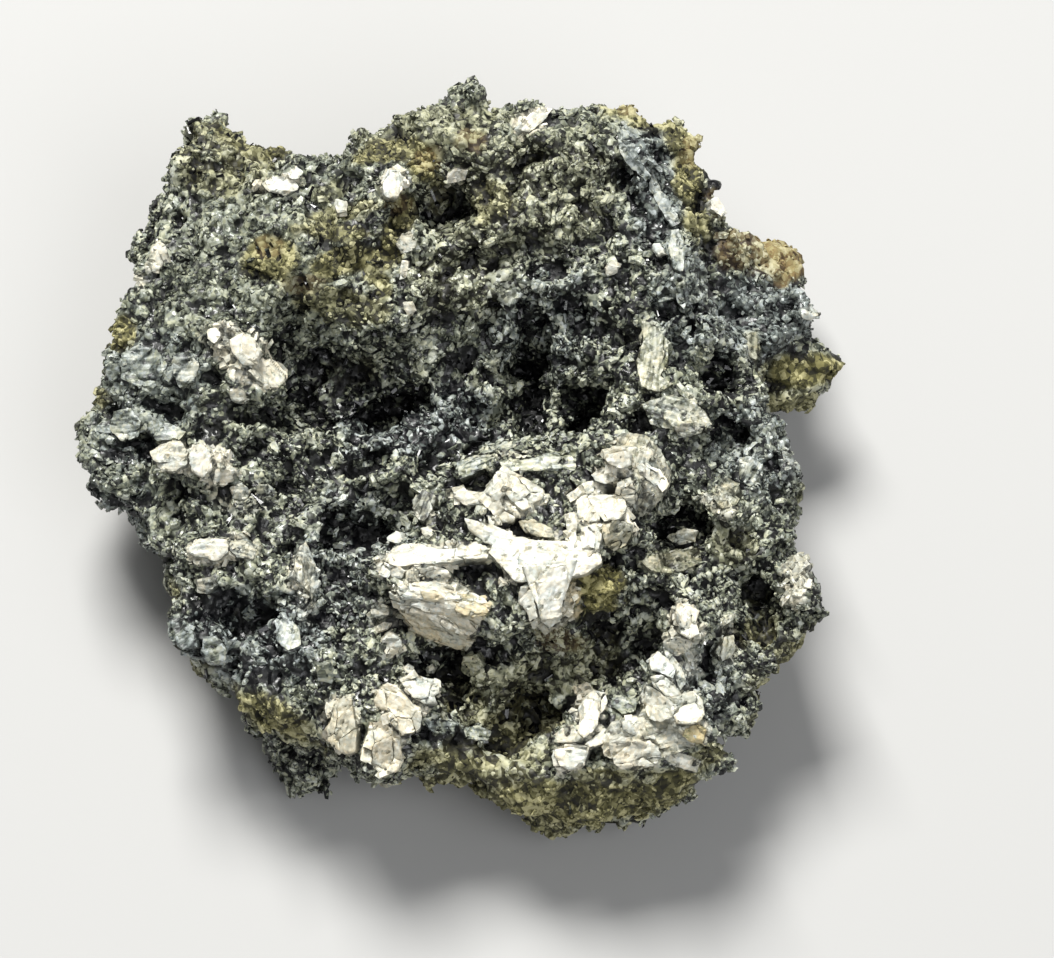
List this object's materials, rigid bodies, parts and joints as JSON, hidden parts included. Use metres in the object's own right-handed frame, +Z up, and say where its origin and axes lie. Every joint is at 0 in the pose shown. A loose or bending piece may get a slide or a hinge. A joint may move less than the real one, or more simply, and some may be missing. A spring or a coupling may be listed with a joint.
{
  "type": "straczekite specimen",
  "caption": "Loose broken stone of dark greenish ore with flat-faced white crystals, ochre crusts, pits, ledges and rim spurs, lying on its base.",
  "frame": {"origin": "middle of the stone's bounding box in X and Y, on the surface it rests on", "axes": "+Z up from the base to the broken face, X along the stone's width, -Y towards the front of the face"},
  "size_m": [0.0206, 0.0196, 0.0083],
  "materials": {
    "dark_ore": "rough dark greenish-grey ore",
    "grey_flakes": "grey-green scales with a soft sheen",
    "black_laths": "near-black glossy laths",
    "white_mineral": "cream-white cleavage crystals, slightly glossy",
    "ochre_crust": "matt ochre to olive crust"
  },
  "bodies": {
    "root": {"stone": "dark_ore"}
  },
  "joints": []
}
